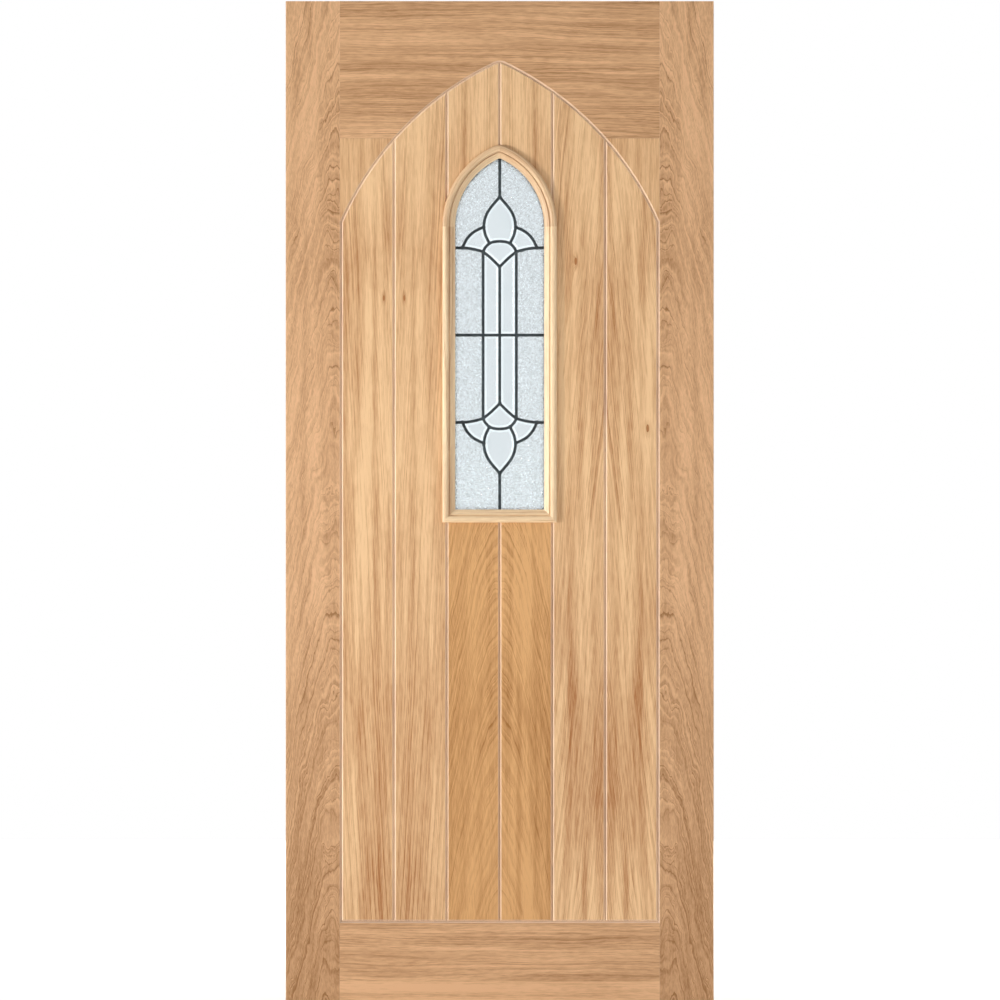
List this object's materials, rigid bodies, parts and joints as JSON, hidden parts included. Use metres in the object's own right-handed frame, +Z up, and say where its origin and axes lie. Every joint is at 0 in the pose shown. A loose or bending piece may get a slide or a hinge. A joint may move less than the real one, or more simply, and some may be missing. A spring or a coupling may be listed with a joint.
{
  "type": "arched panel external door leaf",
  "caption": "Wooden door leaf: stile and rail frame with a pointed-arch panel of vertical V-jointed boards round a leaded lancet window.",
  "frame": {"origin": "centre of the leaf's bottom edge, at mid thickness", "axes": "+Z up the leaf, +X to the right seen from the front, -Y out of the front face"},
  "size_m": [0.838, 0.061, 1.981],
  "materials": {
    "oak_stile": "oak veneer, vertical grain, satin lacquer",
    "oak_rail": "oak veneer, horizontal grain, satin lacquer",
    "oak_spandrel": "oak, vertical grain, satin lacquer",
    "oak_board": "oak boards, vertical grain, satin lacquer",
    "oak_bead": "moulded oak bead, satin lacquer",
    "beech_dowel": "plain beech",
    "core_board": "raw engineered timber core",
    "hardwood_liner": "raw hardwood",
    "steel_pin": "plain steel",
    "foam_tape": "black closed cell foam",
    "packer": "black plastic packer",
    "clear_glass": "clear toughened glass",
    "textured_glass": "clear stippled glass",
    "bevelled_glass": "clear bevelled glass",
    "spacer_bar": "mill finish",
    "sealant": "dark sealant",
    "lead_came": "dark patinated lead"
  },
  "bodies": {
    "root": {"left_stile": "oak_stile", "right_stile": "oak_stile", "top_rail": "oak_rail", "bottom_rail": "oak_rail", "left_spandrel": "oak_spandrel", "right_spandrel": "oak_spandrel", "rail_dowels": "beech_dowel", "spandrel_dowels": "beech_dowel", "panel_core": "core_board", "front_board_1": "oak_board", "front_board_2": "oak_board", "front_board_3_upper": "oak_board", "front_board_3_lower": "oak_board", "front_board_4_upper": "oak_board", "front_board_4_lower": "oak_board", "front_board_5": "oak_board", "front_board_6": "oak_board", "back_board_1": "oak_board", "back_board_2": "oak_board", "back_board_3_upper": "oak_board", "back_board_3_lower": "oak_board", "back_board_4_upper": "oak_board", "back_board_4_lower": "oak_board", "back_board_5": "oak_board", "back_board_6": "oak_board", "liner_left": "hardwood_liner", "liner_right": "hardwood_liner", "liner_sill": "hardwood_liner", "liner_head_left": "hardwood_liner", "liner_head_right": "hardwood_liner", "front_bead_left": "oak_bead", "front_bead_right": "oak_bead", "front_bead_sill": "oak_bead", "front_bead_arch_left": "oak_bead", "front_bead_arch_right": "oak_bead", "back_bead_left": "oak_bead", "back_bead_right": "oak_bead", "back_bead_sill": "oak_bead", "back_bead_arch_left": "oak_bead", "back_bead_arch_right": "oak_bead", "front_bead_pins": "steel_pin", "back_bead_pins": "steel_pin", "front_glazing_tape": "foam_tape", "back_glazing_tape": "foam_tape", "setting_blocks": "packer", "outer_pane": "clear_glass", "outer_spacer": "spacer_bar", "came_lattice": "lead_came", "head_glass": "textured_glass", "side_glass": "textured_glass", "foot_glass": "textured_glass", "bud_glass": "bevelled_glass", "petal_glass": "bevelled_glass", "fan_glass": "bevelled_glass", "strip_glass": "bevelled_glass", "inner_spacer": "spacer_bar", "inner_pane": "clear_glass", "edge_seal": "sealant"}
  },
  "joints": []
}
